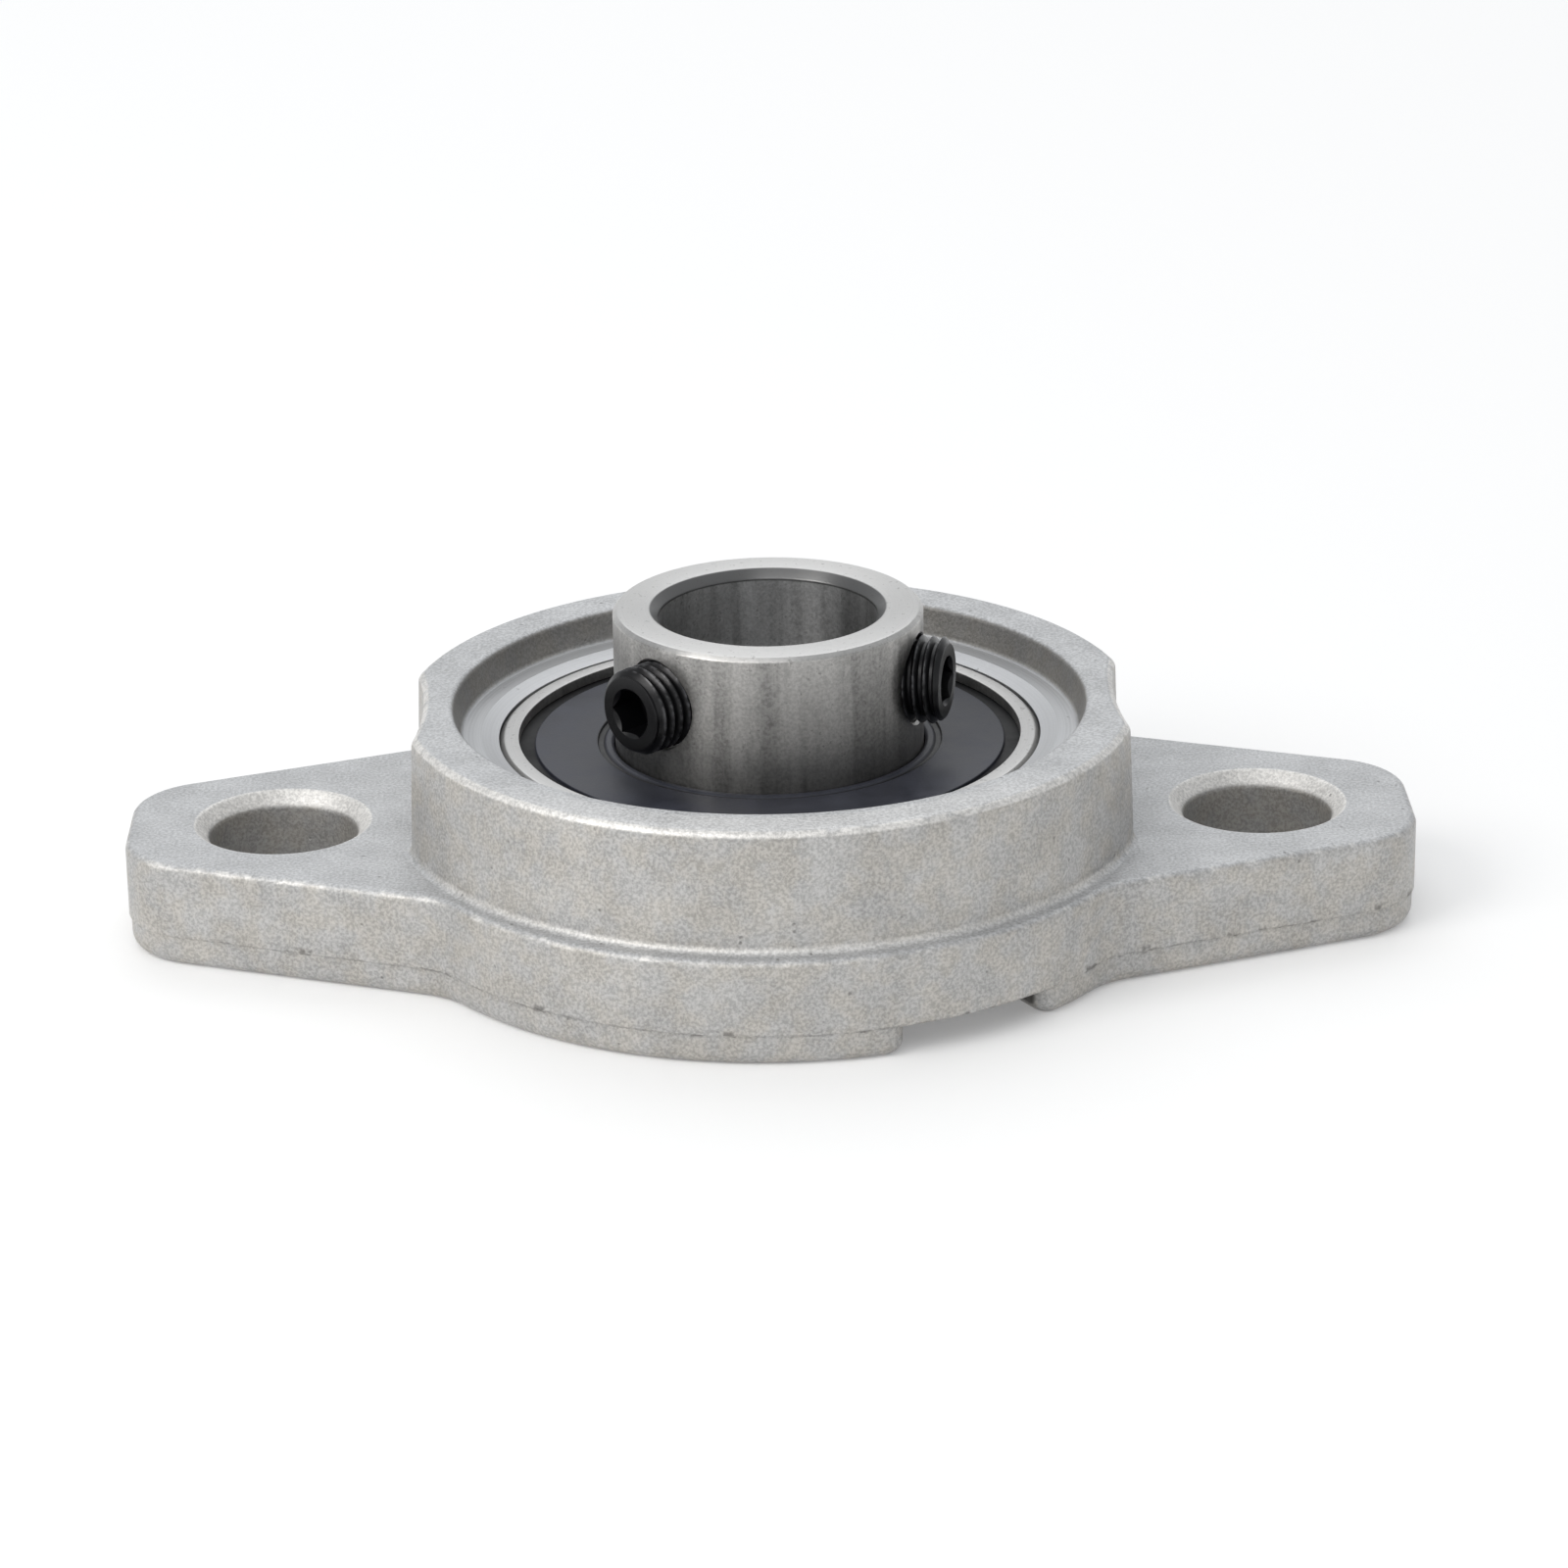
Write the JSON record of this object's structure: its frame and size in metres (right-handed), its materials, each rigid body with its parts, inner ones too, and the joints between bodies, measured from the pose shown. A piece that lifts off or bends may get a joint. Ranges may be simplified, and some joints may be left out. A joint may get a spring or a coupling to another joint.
{
  "type": "two-bolt flange bearing",
  "caption": "Oval die-cast flange housing with a self-aligning sealed ball bearing insert, locked on a shaft by set screws and held by bolts through its ears.",
  "frame": {"origin": "the shaft axis on the back (mounting) face of the flange", "axes": "+Z along the shaft out of the front, +X along the line of the two bolt holes"},
  "size_m": [0.0592, 0.0358, 0.015],
  "materials": {
    "zinc_casting": "as-cast zinc alloy, fine grain",
    "ground_steel": "ground bearing steel",
    "ball_steel": "polished bearing steel",
    "cage_sheet": "pressed sheet steel",
    "core_sheet": "pressed sheet steel",
    "seal_rubber": "moulded nitrile rubber, satin",
    "black_oxide": "black oxide steel"
  },
  "bodies": {
    "housing": {"housing": "zinc_casting"},
    "outer_ring": {"outer_ring": "ground_steel", "front_seal_core": "core_sheet", "front_seal_rubber": "seal_rubber", "rear_seal_core": "core_sheet", "rear_seal_rubber": "seal_rubber"},
    "inner_ring": {"inner_ring": "ground_steel"},
    "cage": {"cage_upper": "cage_sheet", "cage_lower": "cage_sheet", "cage_rivets": "cage_sheet"},
    "ball_1": {"ball_1": "ball_steel"},
    "ball_2": {"ball_2": "ball_steel"},
    "ball_3": {"ball_3": "ball_steel"},
    "ball_4": {"ball_4": "ball_steel"},
    "ball_5": {"ball_5": "ball_steel"},
    "ball_6": {"ball_6": "ball_steel"},
    "ball_7": {"ball_7": "ball_steel"},
    "set_screw_left": {"set_screw_left": "black_oxide"},
    "set_screw_right": {"set_screw_right": "black_oxide"}
  },
  "joints": [
    {"name": "insert_tilt", "type": "hinge", "parent": "housing", "child": "outer_ring", "pos_m": [0, 0, 0.005], "axis": [0, 1, 0], "range_deg": [-3, 3]},
    {"name": "shaft_spin", "type": "hinge", "parent": "outer_ring", "child": "inner_ring", "pos_m": [0, 0, 0.005], "axis": [0, 0, 1], "continuous": true},
    {"name": "cage_spin", "type": "hinge", "parent": "outer_ring", "child": "cage", "pos_m": [0, 0, 0.005], "axis": [0, 0, 1], "continuous": true},
    {"name": "ball_1_roll", "type": "hinge", "parent": "cage", "child": "ball_1", "pos_m": [0.009, 0, 0.005], "axis": [0, 0, 1], "continuous": true},
    {"name": "ball_2_roll", "type": "hinge", "parent": "cage", "child": "ball_2", "pos_m": [0.00561, 0.00704, 0.005], "axis": [0, 0, 1], "continuous": true},
    {"name": "ball_3_roll", "type": "hinge", "parent": "cage", "child": "ball_3", "pos_m": [-0.002, 0.00877, 0.005], "axis": [0, 0, 1], "continuous": true},
    {"name": "ball_4_roll", "type": "hinge", "parent": "cage", "child": "ball_4", "pos_m": [-0.00811, 0.00391, 0.005], "axis": [0, 0, 1], "continuous": true},
    {"name": "ball_5_roll", "type": "hinge", "parent": "cage", "child": "ball_5", "pos_m": [-0.00811, -0.00391, 0.005], "axis": [0, 0, 1], "continuous": true},
    {"name": "ball_6_roll", "type": "hinge", "parent": "cage", "child": "ball_6", "pos_m": [-0.002, -0.00877, 0.005], "axis": [0, 0, 1], "continuous": true},
    {"name": "ball_7_roll", "type": "hinge", "parent": "cage", "child": "ball_7", "pos_m": [0.00561, -0.00704, 0.005], "axis": [0, 0, 1], "continuous": true},
    {"name": "left_screw_travel", "type": "slide", "parent": "inner_ring", "child": "set_screw_left", "axis": [-0.7314, -0.682, 0], "range_m": [-0.0015, 0.001]},
    {"name": "right_screw_travel", "type": "slide", "parent": "inner_ring", "child": "set_screw_right", "axis": [0.9563, -0.2924, 0], "range_m": [-0.0013, 0.0013]}
  ],
  "couplings": [
    {"joint": "cage_spin", "follows": "shaft_spin", "ratio": 0.36771},
    {"joint": "ball_1_roll", "follows": "shaft_spin", "ratio": -1.7575},
    {"joint": "ball_2_roll", "follows": "shaft_spin", "ratio": -1.7575},
    {"joint": "ball_3_roll", "follows": "shaft_spin", "ratio": -1.7575},
    {"joint": "ball_4_roll", "follows": "shaft_spin", "ratio": -1.7575},
    {"joint": "ball_5_roll", "follows": "shaft_spin", "ratio": -1.7575},
    {"joint": "ball_6_roll", "follows": "shaft_spin", "ratio": -1.7575},
    {"joint": "ball_7_roll", "follows": "shaft_spin", "ratio": -1.7575}
  ]
}
